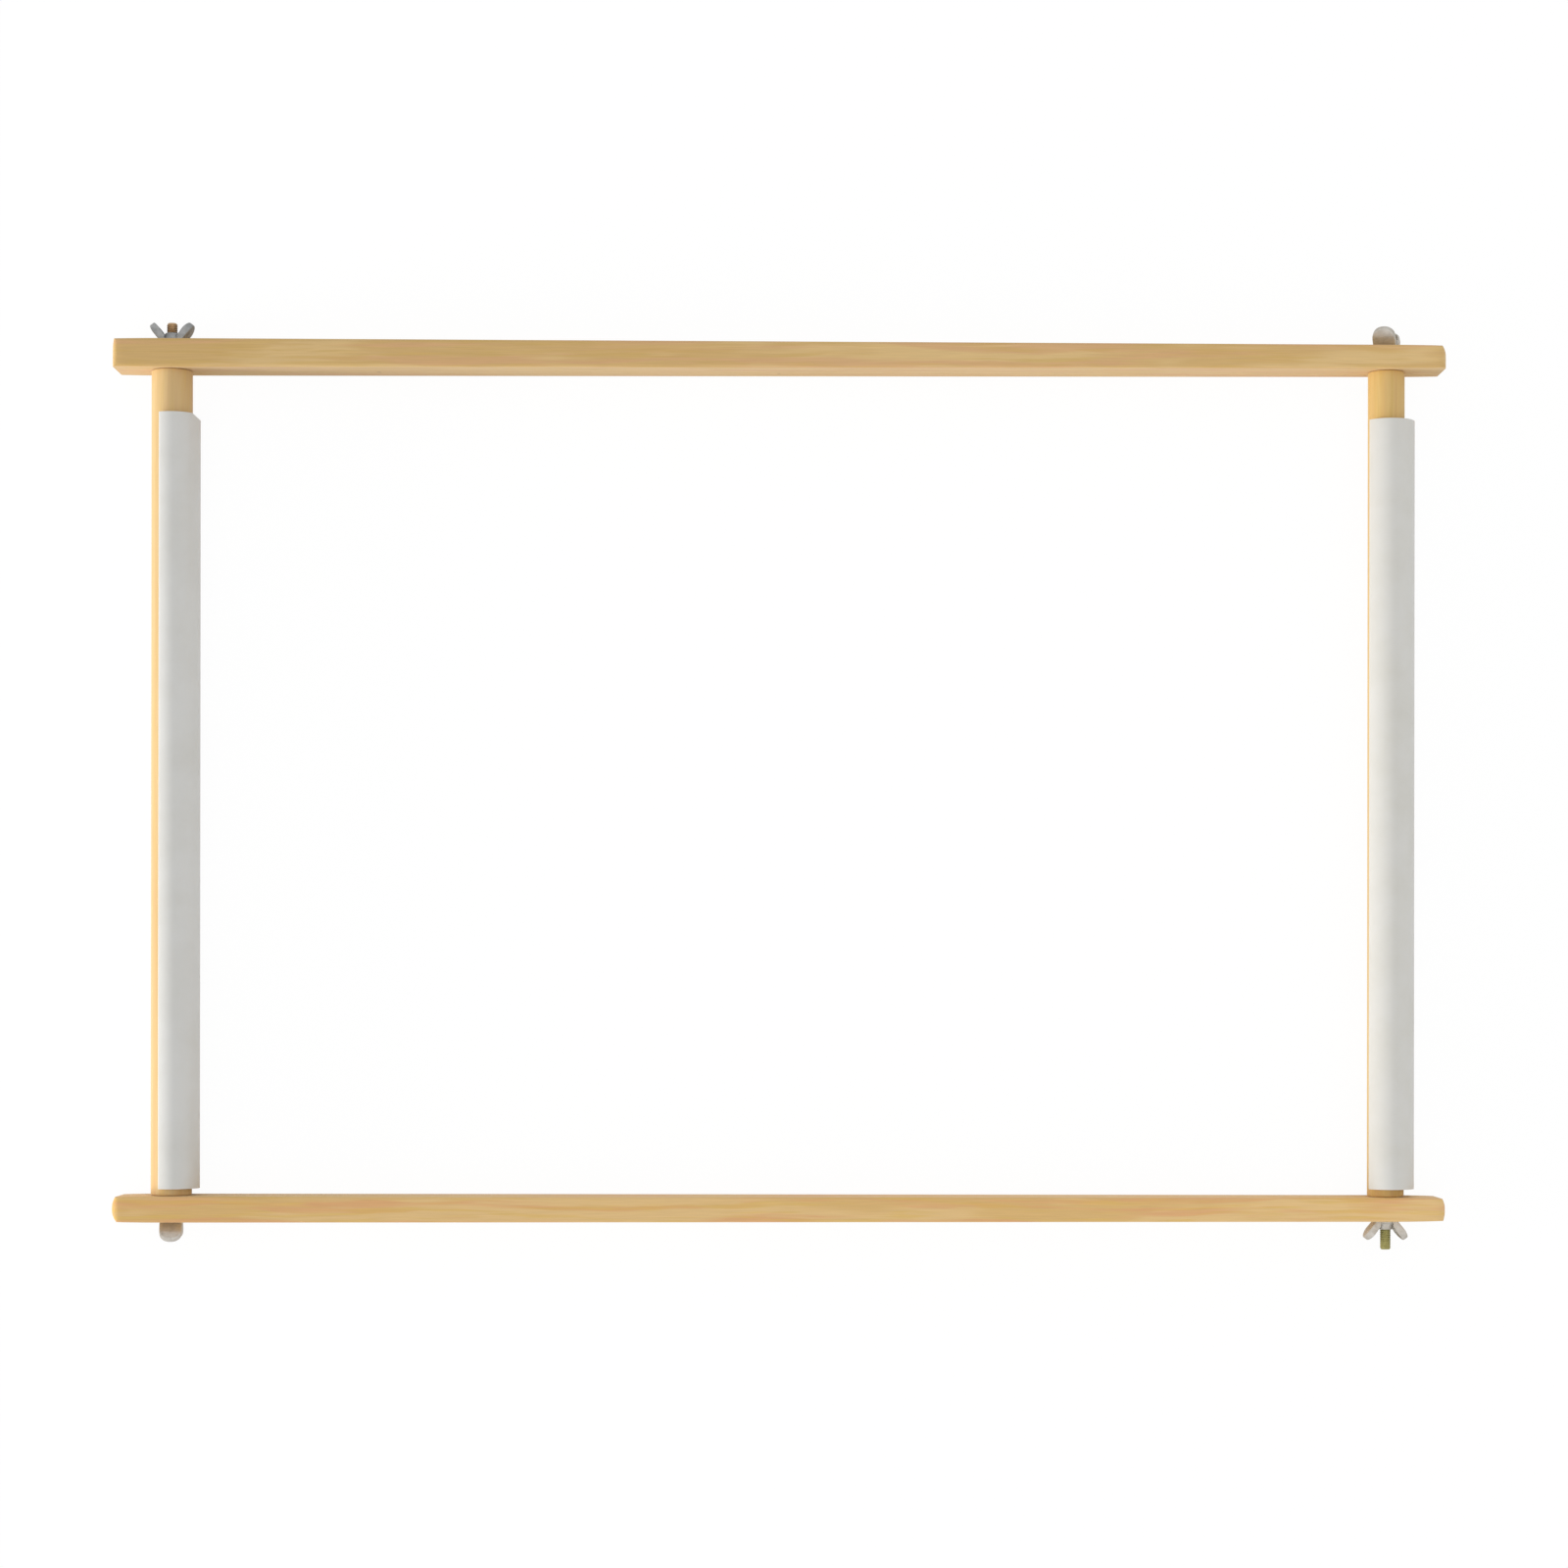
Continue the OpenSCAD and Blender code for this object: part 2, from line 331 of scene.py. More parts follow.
def round_off(
    bm: BMesh, geom: list, radius: float, steps: int, affect: str = "EDGES", clamp: bool = False
) -> None:
    """Rounds edges off, or the corners of a lone face.

    Args:
        bm: The mesh.
        geom: The edges, or the vertices at the corners.
        radius: How far from them the rounding starts.
        steps: Facets in a rounding.
        affect: EDGES or VERTICES.
        clamp: Whether roundings give way to each other where they meet.
    """
    bmesh.ops.bevel(
        bm, geom=geom, offset=radius, offset_type="OFFSET", affect=affect, segments=steps,
        profile=0.5, material=-1, clamp_overlap=clamp,
    )


def add_object(bm: BMesh, name: str) -> Object:
    """Puts a finished mesh into the scene, and frees it.

    Args:
        bm: The mesh.
        name: Its name.

    Returns:
        The new object.
    """
    mesh = bpy.data.meshes.new(name)
    bm.to_mesh(mesh)
    bm.free()
    thing = bpy.data.objects.new(name, mesh)
    bpy.context.scene.collection.objects.link(thing)
    return thing


def finish_piece(
    bm: BMesh, name: str, place: Matrix, material: Material, sharp_angle: float = 38
) -> Object:
    """Turns a finished bmesh into a piece at its place in the frame.

    Args:
        bm: The mesh in millimetres. It is freed.
        name: The piece's name.
        place: Where the piece goes, in millimetres.
        material: Its finish.
        sharp_angle: Edges that turn by more than this stay sharp.

    Returns:
        The piece's object, at the origin.
    """
    bmesh.ops.recalc_face_normals(bm, faces=bm.faces)
    bmesh.ops.transform(bm, matrix=Matrix.Scale(MM, 4) @ place, verts=bm.verts)
    piece = add_object(bm, name)
    piece.data.polygons.foreach_set("use_smooth", [True] * len(piece.data.polygons))
    piece.data.set_sharp_from_angle(angle=math.radians(sharp_angle))
    piece.data.materials.append(material)
    return piece


def mount(piece: Object, node: str, body: str) -> None:
    """Lets a piece stand for a CAD node and move with its body.

    Args:
        piece: The new piece.
        node: The CAD node that it replaces.
        body: The body that it rides on.
    """
    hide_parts(node)
    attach(piece, body)
    triangles = sum(len(face.vertices) - 2 for face in piece.data.polygons)
    LOG.info("%s: %d triangles, rides on %s", piece.name, triangles, body)


@dataclass(frozen=True)
class Pine:
    """Sawn and sanded pine: dull, with broad soft rings, long streaks and fine fibres.

    The rings lie round the trunk's axis, which runs along the grain through the pith and
    leans by a few degrees. Resin makes some streaks rosy, and sapwood makes some olive.
    """

    name: str
    early: str
    late: str
    rosy: str
    olive: str
    grain_axis: str
    pith: tuple[float, float, float]
    lean: tuple[float, float, float]
    ring_spacing: float = 5
    ring_contrast: float = 0.5
    fibre_contrast: float = 0.08
    fade: float = 0.0
    knots: tuple[tuple[float, float, float], ...] = ()
    knot_core: float = 0.4
    knot_radius: float = 1.9
    knot_shade: float = 0.66
    fibre_relief: float = 0.1
    late_relief: float = 0.2

    def grain(self, along: float, across: float) -> list[float]:
        """Returns the size of a streak along X, Y and Z, from its length and its width."""
        return [along if axis == self.grain_axis else across for axis in "XYZ"]

    def material(self) -> Material:
        """Builds the node material.

        Returns:
            The material.
        """
        material = bpy.data.materials.new(self.name)
        nodes = Nodes(material)
        place = nodes.add("TexCoord")["Object"]

        # The trunk grew unevenly: its rings wander by a few millimetres over a hand's length.
        wander = nodes.noise(place, self.grain(130, 26), detail=3.0, shift=3.1)
        centred = nodes.add("VectorMath", {
            0: wander["Color"], 1: (0.5, 0.5, 0.5)}, operation="SUBTRACT")
        bent = nodes.add("VectorMath", {
            0: centred["Vector"], 1: [2 * self.ring_spacing * MM] * 3, 2: place},
            operation="MULTIPLY_ADD")["Vector"]
        trunk = nodes.add("Mapping", {
            "Vector": bent, "Location": [v * MM for v in self.pith],
            "Rotation": [math.radians(v) for v in self.lean]}, vector_type="TEXTURE")
        rings = nodes.add("TexWave", {
            "Vector": trunk["Vector"], "Scale": WAVE_TURN / (self.ring_spacing * MM),
            "Distortion": 0.0}, wave_type="RINGS", rings_direction=self.grain_axis)["Fac"]
        late = nodes.remap(rings, (0.2, 1.0), (0.0, self.ring_contrast), smooth=True)
        colour = nodes.mix(late, linear(self.early), linear(self.late))

        # Resin and sapwood tint it in bands 3 to 6 mm wide and up to a hand long.
        broad = nodes.noise(bent, self.grain(150, 5.5), shift=1.3)
        resin = nodes.remap(broad["Fac"], (0.47, 0.63), (0.0, 0.75), smooth=True)
        colour = nodes.mix(resin, colour, linear(self.rosy))
        narrow = nodes.noise(bent, self.grain(70, 2.6), shift=7.7)
        sapwood = nodes.remap(narrow["Fac"], (0.49, 0.66), (0.0, 0.55), smooth=True)
        colour = nodes.mix(sapwood, colour, linear(self.olive))

        # Cut fibres: streaks a third of a millimetre wide and two centimetres long.
        fibres = nodes.noise(place, self.grain(20, 0.35), detail=4.0, shift=5.9)["Fac"]
        contrast = (1 - self.fibre_contrast, 1 + self.fibre_contrast)
        colour = nodes.shade(colour, nodes.remap(fibres, (0.25, 0.75), contrast))

        # The board comes nearer to the bark, and so gets paler, towards its far end.
        if self.fade:
            reach = LAYOUT.bar_length / 2 * MM
            along = nodes.add("SeparateXYZ", {"Vector": place})
            paler = nodes.remap(
                along[self.grain_axis], (-reach, reach), (1 - self.fade, 1 + self.fade))
            colour = nodes.shade(colour, paler)

        # Pin knots: brown specks under 4 mm wide.
        for knot in self.knots:
            away = nodes.add("VectorMath", {
                0: bent, 1: [v * MM for v in knot]}, operation="DISTANCE")["Value"]
            speck = nodes.remap(away, (self.knot_core * MM, self.knot_radius * MM),
                                (self.knot_shade, 1.0), smooth=True)
            colour = nodes.shade(colour, speck)

        # Sanding leaves the fibres just open, which pales the wood at a glancing angle, and
        # the hard latewood a little proud.
        relief = nodes.add(
            "Math", {0: rings, 1: self.late_relief, 2: fibres}, operation="MULTIPLY_ADD")
        nodes.surface({
            "Base Color": colour, "Roughness": nodes.remap(fibres, (0.0, 1.0), (0.52, 0.7)),
            "Normal": nodes.bump(relief["Value"], 0.25, self.fibre_relief),
            "IOR": 1.45, "Specular IOR Level": 0.5, "Sheen Weight": 0.17,
            "Sheen Roughness": 0.45})
        return material


@dataclass(frozen=True)
class Vinyl:
    """Extruded white PVC: smooth and half glossy, with faint die lines along it."""

    name: str
    body: str = "E0E0DD"
    shade: str = "D6D5CF"
    roughness: float = 0.34
    line_width: float = 0.5
    line_length: float = 400
    line_relief: float = 0.05
    cloud_size: float = 30
    light_depth: float = 2

    def material(self) -> Material:
        """Builds the node material.

        Returns:
            The material.
        """
        material = bpy.data.materials.new(self.name)
        nodes = Nodes(material)
        place = nodes.add("TexCoord")["Object"]
        # The die draws scratches half a millimetre wide along the whole strip.
        line_size = (self.line_width, self.line_length, self.line_width)
        lines = nodes.noise(place, line_size, detail=3.0, roughness=0.6)
        # Handling leaves cloudy dull patches some 30 mm across.
        clouds = nodes.noise(place, [self.cloud_size] * 3, detail=4.0, roughness=0.6)
        dull = nodes.remap(clouds["Fac"], (0.4, 0.75), (0.0, 0.6))
        gloss = nodes.remap(clouds["Fac"], (0.0, 1.0),
                            (self.roughness - 0.08, self.roughness + 0.14))
        nodes.surface({
            "Base Color": nodes.mix(dull, linear(self.body), linear(self.shade)),
            "Normal": nodes.bump(lines["Fac"], 0.12, self.line_relief),
            "Roughness": gloss, "IOR": 1.53, "Subsurface Weight": 0.12,
            "Subsurface Radius": (1.0, 0.95, 0.85), "Subsurface Scale": self.light_depth * MM})
        return material


@dataclass(frozen=True)
class PlatedSteel:
    """Zinc-plated steel: satin metal with a cloudy passivated film and fine press marks."""

    name: str
    bright: str
    dull: str
    roughness: float = 0.5
    cloud_size: float = 4
    mark_size: float = 0.35
    mark_relief: float = 0.03
    metallic: float = 0.75

    def material(self) -> Material:
        """Builds the node material.

        Returns:
            The material.
        """
        material = bpy.data.materials.new(self.name)
        nodes = Nodes(material)
        place = nodes.add("TexCoord")["Object"]
        # The film is thicker in clouds a few millimetres across.
        clouds = nodes.noise(place, [self.cloud_size] * 3, detail=5.0, roughness=0.62)
        film = nodes.remap(clouds["Fac"], (0.3, 0.72), (0.0, 1.0), smooth=True)
        gloss = nodes.remap(clouds["Fac"], (0.3, 0.7),
                            (self.roughness - 0.07, self.roughness + 0.12))
        # The tool and the plating barrel leave tiny dents.
        marks = nodes.noise(place, [self.mark_size] * 3, detail=3.0)
        nodes.surface({
            "Base Color": nodes.mix(film, linear(self.bright), linear(self.dull)),
            "Normal": nodes.bump(marks["Fac"], 0.15, self.mark_relief),
            "Roughness": gloss, "Metallic": self.metallic})
        return material


@dataclass(frozen=True)
class BarEnd:
    """How one end of a side bar was rounded off with sandpaper.

    Attributes:
        outer_bulge: How far the end falls back at its outer edge.
        inner_bulge: How far it falls back at its inner edge.
        front_round: How far it falls back at its front.
        back_round: How far it falls back at its back.
        pinch: How much the bar is thinner there, on each of its two faces.
    """

    outer_bulge: float
    inner_bulge: float
    front_round: float
    back_round: float = 0.8
    pinch: float = 0.3


@dataclass
class SideBar:
    """A side bar: a pine batten with softly rounded ends and a hole for each bolt.

    It is built with its inner face at y = 0 and its outer face towards +Y. The loops are cuts
    at both sides of its middle, which give its ends enough points to be rounded.
    """

    end: End
    left: BarEnd
    right: BarEnd
    edge_radius: float = 1.5
    edge_steps: int = 4
    round_depth: float = 4
    pinch_length: float = 24
    hole_radius: float = 3.1
    hole_chamfer: float = 0.35
    hole_steps: int = 8
    patch: float = 6
    loops_along: tuple[float, ...] = (354, 358, 362, 365.5, 368.5)
    loops_across: tuple[float, ...] = (0, 1.6, 3.2, 4.6)
    loops_deep: tuple[float, ...] = (7, 9, 10.5, 11.5, 12.5)
    sliver: float = 0.01

    def __post_init__(self) -> None:
        """Takes the bar's length, its depth and the width at its middle from the layout."""
        self.length, self.depth = LAYOUT.bar_length, LAYOUT.bar_depth
        self.width = LAYOUT.bar_width(self.end, 0)

    def batten(self) -> BMesh:
        """Saws the batten, rounds its long edges and adds its loops.

        Returns:
            The batten about its own middle.
        """
        bm = bmesh.new()
        bmesh.ops.create_cube(bm, size=1)
        bmesh.ops.scale(bm, vec=(self.length, self.width, self.depth), verts=bm.verts)
        long_edges = [e for e in bm.edges if abs(e.verts[0].co.x - e.verts[1].co.x) > TOUCH]
        round_off(bm, long_edges, self.edge_radius, self.edge_steps)
        bends = [self.edge_radius * math.sin(math.radians(90 * i / self.edge_steps))
                 for i in range(self.edge_steps)]
        flat_width, flat_depth = (v / 2 - self.edge_radius for v in (self.width, self.depth))
        along = [LAYOUT.roller_x - self.patch, LAYOUT.roller_x + self.patch, *self.loops_along]
        across = [*self.loops_across, *(flat_width + b for b in bends)]
        deep = [*self.loops_deep, *(flat_depth + b for b in bends)]
        for axis, places in enumerate((along, across, deep)):
            normal = Vector([float(i == axis) for i in range(3)])
            for place in sorted({sign * v for v in places for sign in (-1, 1)}):
                bmesh.ops.bisect_plane(
                    bm, geom=bm.verts[:] + bm.edges[:] + bm.faces[:],
                    plane_co=normal * place, plane_no=normal,
                )
        bmesh.ops.remove_doubles(bm, verts=bm.verts, dist=self.sliver)
        bmesh.ops.dissolve_degenerate(bm, edges=bm.edges, dist=self.sliver)
        return bm

    def drill(self, bm: BMesh, x: float) -> None:
        """Opens a bolt hole with a small chamfer at each mouth.

        Args:
            bm: The batten.
            x: Where the hole's axis crosses the bar.
        """
        bores = []
        for y in (-self.width / 2, self.width / 2):
            patch = [f for f in bm.faces if abs(f.calc_center_median().y - y) < TOUCH
                     and abs(f.calc_center_median().x - x) < self.patch
                     and abs(f.calc_center_median().z) < self.patch]
            border = [e for e in {e for f in patch for e in f.edges}
                      if sum(f in patch for f in e.link_faces) == 1]
            bmesh.ops.delete(bm, geom=patch, context="FACES_ONLY")
            bmesh.ops.subdivide_edges(bm, edges=border, cuts=self.hole_steps - 1)
            rim = [e for e in bm.edges if e.is_boundary
                   and all(abs(v.co.y - y) < TOUCH for v in e.verts)
                   and all(abs(v.co.x - x) < self.patch + TOUCH for v in e.verts)]
            for depth, wider in ((0.0, self.hole_chamfer), (self.hole_chamfer, 0.0)):
                at = Matrix.Translation((x, y - math.copysign(depth, y), 0))
                ring = bmesh.ops.create_circle(
                    bm, segments=4 * self.hole_steps, radius=self.hole_radius + wider,
                    matrix=at @ Matrix.Rotation(math.radians(90), 4, "X")
                    @ Matrix.Rotation(math.radians(45), 4, "Z"),
                )["verts"]
                circle = list({e for v in ring for e in v.link_edges})
                bmesh.ops.bridge_loops(bm, edges=rim + circle)
                rim = circle
            bores.append(rim)
        bmesh.ops.bridge_loops(bm, edges=bores[0] + bores[1])

    def sag(self, co: Vector, end: BarEnd) -> float:
        """Works out how far a point of an end's face falls back.

        Args:
            co: The point on the sawn batten.
            end: That end's rounding.

        Returns:
            Its way behind the bar's full length.
        """
        bulge = end.outer_bulge if co.y > 0 else end.inner_bulge
        across = bulge * (2 * co.y / self.width) ** 2
        deep = min(1.0, max(0.0, 1 + (abs(co.z) - self.depth / 2) / self.round_depth))
        front = co.z * self.end.value > 0
        over = (end.front_round if front else end.back_round) * (1 - math.sqrt(1 - deep**2))
        # The larger of the two counts, and they pass softly into each other.
        return (across**3 + over**3) ** (1 / 3)

    def plane(self, bm: BMesh) -> None:
        """Rounds and pinches both ends, and planes the outer face to its taper.

        Args:
            bm: The drilled batten.
        """
        for vert in bm.verts:
            x = vert.co.x
            end = self.left if x < 0 else self.right
            way = max(0.0, abs(x) - self.length / 2 + self.pinch_length) / self.pinch_length
            if abs(x) > self.length / 2 - TOUCH:
                vert.co.x -= math.copysign(self.sag(vert.co, end), x)
            vert.co.y *= 1 - end.pinch * way**1.5 / (self.width / 2)
            vert.co.y += self.width / 2
            vert.co.y *= LAYOUT.bar_width(self.end, x) / self.width

    def build(self, material: Material) -> Object:
        """Builds the bar.

        Args:
            material: Its finish.

        Returns:
            The bar in its place.
        """
        bm = self.batten()
        for side in Side:
            self.drill(bm, side.value * LAYOUT.roller_x)
        self.plane(bm)
        return finish_piece(bm, f"pine_{self.end}_bar", LAYOUT.bar(self.end), material)


@dataclass
class Roller:
    """A roller: a pine dowel with a blind bolt hole in each end."""

    side: Side
    end_radius: float = 0.8
    end_steps: int = 4
    hole_radius: float = 3.0
    hole_chamfer: float = 0.4
    shade_loop: float = 3
    steps: int = 72

    def half(self, end: End) -> list[Point]:
        """Draws one end's profile, from the foot of its hole to its rim.

        Args:
            end: The bar at that end.

        Returns:
            Radius and height above the roller's middle of each point. The points that lie
            shade_loop away from the rim keep its shading off the flat and the long face.
        """
        foot = LAYOUT.bolt_tip(self.side, end)
        top = LAYOUT.roller_length / 2
        radius = LAYOUT.roller_diameters[self.side] / 2
        rim = radius - self.end_radius
        turns = [math.radians(90 * (1 - i / self.end_steps)) for i in range(self.end_steps + 1)]
        return [
            (0, foot), (self.hole_radius, foot), (self.hole_radius, top - self.hole_chamfer),
            (self.hole_radius + self.hole_chamfer, top), (rim - self.shade_loop, top),
            *((rim + self.end_radius * math.cos(turn),
               top + self.end_radius * (math.sin(turn) - 1)) for turn in turns),
            (radius, top - self.shade_loop),
        ]

    def build(self, material: Material) -> Object:
        """Builds the roller.

        Args:
            material: Its finish.

        Returns:
            The roller in its place.
        """
        lower = [(radius, -height) for radius, height in self.half(End.BOTTOM)]
        bm = bmesh.new()
        lathe(bm, self.half(End.TOP) + lower[::-1], self.steps)
        place = LAYOUT.on_axis(self.side, End.TOP, 0)
        return finish_piece(bm, f"pine_{self.side}_roller", place, material)


@dataclass
class FabricClip:
    """A fabric clip: an extruded plastic channel that springs round a roller.

    Its bore leaves room for fabric on the thicker roller. Without fabric it hangs back until
    its lips nearly meet that roller.
    """

    side: Side
    bare: float
    gap: float
    mouth: float
    trimmed: float = 0
    trim_start: float = 12.8
    fabric_room: float = 0.8
    wall: float = 2.4
    wrap: float = 250
    lip_gap: float = 0.15
    lip_flat: float = 0.02
    edge_radius: float = 0.3
    corner_angle: float = 45
    arc_steps: int = 64

    def __post_init__(self) -> None:
        """Works out the clip's length, its radii and how far it hangs back."""
        thick = max(LAYOUT.roller_diameters.values()) / 2
        self.length = 2 * LAYOUT.inner_y - self.bare
        self.inner_radius = thick + self.fabric_room
        self.middle_radius = self.inner_radius + self.wall / 2
        half_mouth = math.radians(180 - self.wrap / 2)
        lip_reach = thick + self.lip_gap + self.wall / 2
        self.set_back = self.middle_radius * math.cos(half_mouth) - math.sqrt(
            lip_reach**2 - (self.middle_radius * math.sin(half_mouth)) ** 2
        )

    def corners(self, bm: BMesh) -> list[BMEdge]:
        """Returns a mesh's edges that turn a corner."""
        return [e for e in bm.edges if e.calc_face_angle(0) > math.radians(self.corner_angle)]

    def channel(self) -> BMesh:
        """Extrudes the channel.

        Returns:
            The channel along +Z, with round lips beside its mouth at +X.
        """
        bm = bmesh.new()
        lip = math.degrees(math.asin(self.wall / 2 / self.middle_radius))
        turn = self.wrap + 2 * lip
        outer_radius = self.inner_radius + self.wall
        ends = [bm.verts.new((radius, 0, 0)) for radius in (self.inner_radius, outer_radius)]
        edge = bm.edges.new(ends)
        bmesh.ops.rotate(bm, verts=ends, cent=(0, 0, 0),
                         matrix=Matrix.Rotation(math.radians(180 - turn / 2), 3, "Z"))
        bmesh.ops.spin(
            bm, geom=ends + [edge], cent=(0, 0, 0), axis=(0, 0, 1),
            angle=math.radians(turn), steps=self.arc_steps, use_duplicate=False,
        )
        wall = bmesh.ops.extrude_face_region(bm, geom=bm.faces[:])["geom"]
        raised = [v for v in wall if isinstance(v, BMVert)]
        bmesh.ops.translate(bm, vec=(0, 0, self.length), verts=raised)
        bmesh.ops.recalc_face_normals(bm, faces=bm.faces)
        lips = [e for e in self.corners(bm) if abs(e.verts[0].co.z - e.verts[1].co.z) > TOUCH]
        round_off(bm, lips, self.wall / 2 - self.lip_flat, steps=6)
        bmesh.ops.translate(bm, vec=(-self.set_back, 0, 0), verts=bm.verts)
        return bm

    def trim(self, bm: BMesh) -> None:
        """Cuts the corner off the upper end, beside the roller and towards its right.

        Args:
            bm: The channel.
        """
        reach = self.inner_radius + self.wall + self.set_back
        away = math.radians(90 - self.mouth)
        right = Vector((math.cos(away), math.sin(away), 0))
        start = right * self.trim_start + Vector((0, 0, self.length))
        slope = right * (reach - self.trim_start) - Vector((0, 0, self.trimmed))
        normal = Vector((0, 0, 1)).cross(right).cross(slope).normalized()
        cut_flat(bm, set(), start, normal if normal.z > 0 else -normal)

    def build(self, material: Material) -> Object:
        """Builds the clip.

        Args:
            material: Its finish.

        Returns:
            The clip in its place.
        """
        bm = self.channel()
        if self.trimmed:
            self.trim(bm)
        bmesh.ops.recalc_face_normals(bm, faces=bm.faces)
        round_off(bm, self.corners(bm), self.edge_radius, steps=2, clamp=True)
        place = LAYOUT.on_axis(self.side, End.TOP, self.gap - LAYOUT.inner_y, self.mouth - 90)
        return finish_piece(bm, f"plastic_{self.side}_clip", place, material)


@dataclass
class HangerBolt:
    """A hanger bolt: an M6 machine thread outside and a wood screw thread in the roller."""

    side: Side
    end: End
    crest_radius: float = 3.0
    root_radius: float = 2.72
    shank_radius: float = 2.8
    pitch: float = 1.0
    threaded: float = 25
    chamfer: float = 0.75
    screw_length: float = 16.5
    screw_root: float = 1.9
    screw_crest: float = 2.9
    screw_pitch: float = 2.3
    tip_length: float = 6
    tip_share: float = 0.12
    overlap: float = 0.5
    shoulder: float = 0.6
    steps: int = 28

    def helix(
        self, bm: BMesh, tooth: list[Point], pitch: float, bottom: float, top: float
    ) -> list[BMVert]:
        """Winds a tooth profile up +Z and closes it with flat ends.

        Args:
            bm: The mesh that takes the thread.
            tooth: Radius of each point from root to root, and its height in pitches.
            pitch: Rise of a turn.
            bottom: Height of the lower flat end.
            top: Height of the upper flat end.

        Returns:
            The thread's vertices.
        """
        known = set(bm.verts)
        # It is wound a turn and a half past each end, and then cut off there.
        start = bottom - 1.5 * pitch
        turns = math.ceil((top - bottom) / pitch) + 3
        verts = [bm.verts.new((radius, 0, start + pitch * share)) for radius, share in tooth]
        edges = [bm.edges.new(pair) for pair in zip(verts, verts[1:])]
        bmesh.ops.spin(
            bm, geom=verts + edges, cent=(0, 0, 0), axis=(0, 0, 1),
            dvec=(0, 0, pitch / self.steps), angle=math.tau * turns,
            steps=self.steps * turns, use_duplicate=False,
        )
        wound = [v for v in bm.verts if v not in known]
        bmesh.ops.remove_doubles(bm, verts=wound, dist=TOUCH)
        cut_flat(bm, known, (0, 0, bottom), (0, 0, -1))
        cut_flat(bm, known, (0, 0, top), (0, 0, 1))
        return [v for v in bm.verts if v not in known]

    def machine_thread(self, bm: BMesh) -> None:
        """Adds the M6 thread with its chamfered free end.

        Args:
            bm: The mesh that takes it.
        """
        root, crest, end = self.root_radius, self.crest_radius, LAYOUT.bolt_length
        tooth = [(root, 0), (root, 0.17), (crest, 0.52), (crest, 0.65), (root, 1)]
        for vert in self.helix(bm, tooth, self.pitch, end - self.threaded, end):
            radius = vert.co.xy.length
            limit = crest - self.chamfer + (end - vert.co.z)
            if radius > limit > 0:
                vert.co.xy *= limit / radius

    def wood_thread(self, bm: BMesh) -> None:
        """Adds the coarse thread that bites into the roller, tapered to its tip.

        Args:
            bm: The mesh that takes it.
        """
        root, crest = self.screw_root, self.screw_crest
        tooth = [(root, 0), (root, 0.55), (crest, 0.76), (crest, 0.8), (root, 1)]
        for vert in self.helix(bm, tooth, self.screw_pitch, 0.0, self.screw_length):
            vert.co.xy *= min(1.0, self.tip_share + vert.co.z / self.tip_length)

    def build(self, material: Material) -> Object:
        """Builds the bolt.

        Args:
            material: Its finish.

        Returns:
            The bolt in its place.
        """
        bm = bmesh.new()
        self.machine_thread(bm)
        self.wood_thread(bm)
        # The plain shank runs into both threads, and its shoulders slope to their roots.
        low = self.screw_length - self.overlap
        high = LAYOUT.bolt_length - self.threaded + self.overlap
        shank = [
            (0, low), (self.screw_root, low), (self.shank_radius, low + 2 * self.shoulder),
            (self.shank_radius, high - self.shoulder), (self.root_radius - 0.1, high), (0, high),
        ]
        lathe(bm, shank, self.steps)
        name = f"steel_{self.end}_{self.side}_bolt"
        place = LAYOUT.on_axis(self.side, self.end, LAYOUT.bolt_tip(self.side, self.end))
        return finish_piece(bm, name, place, material, sharp_angle=32)


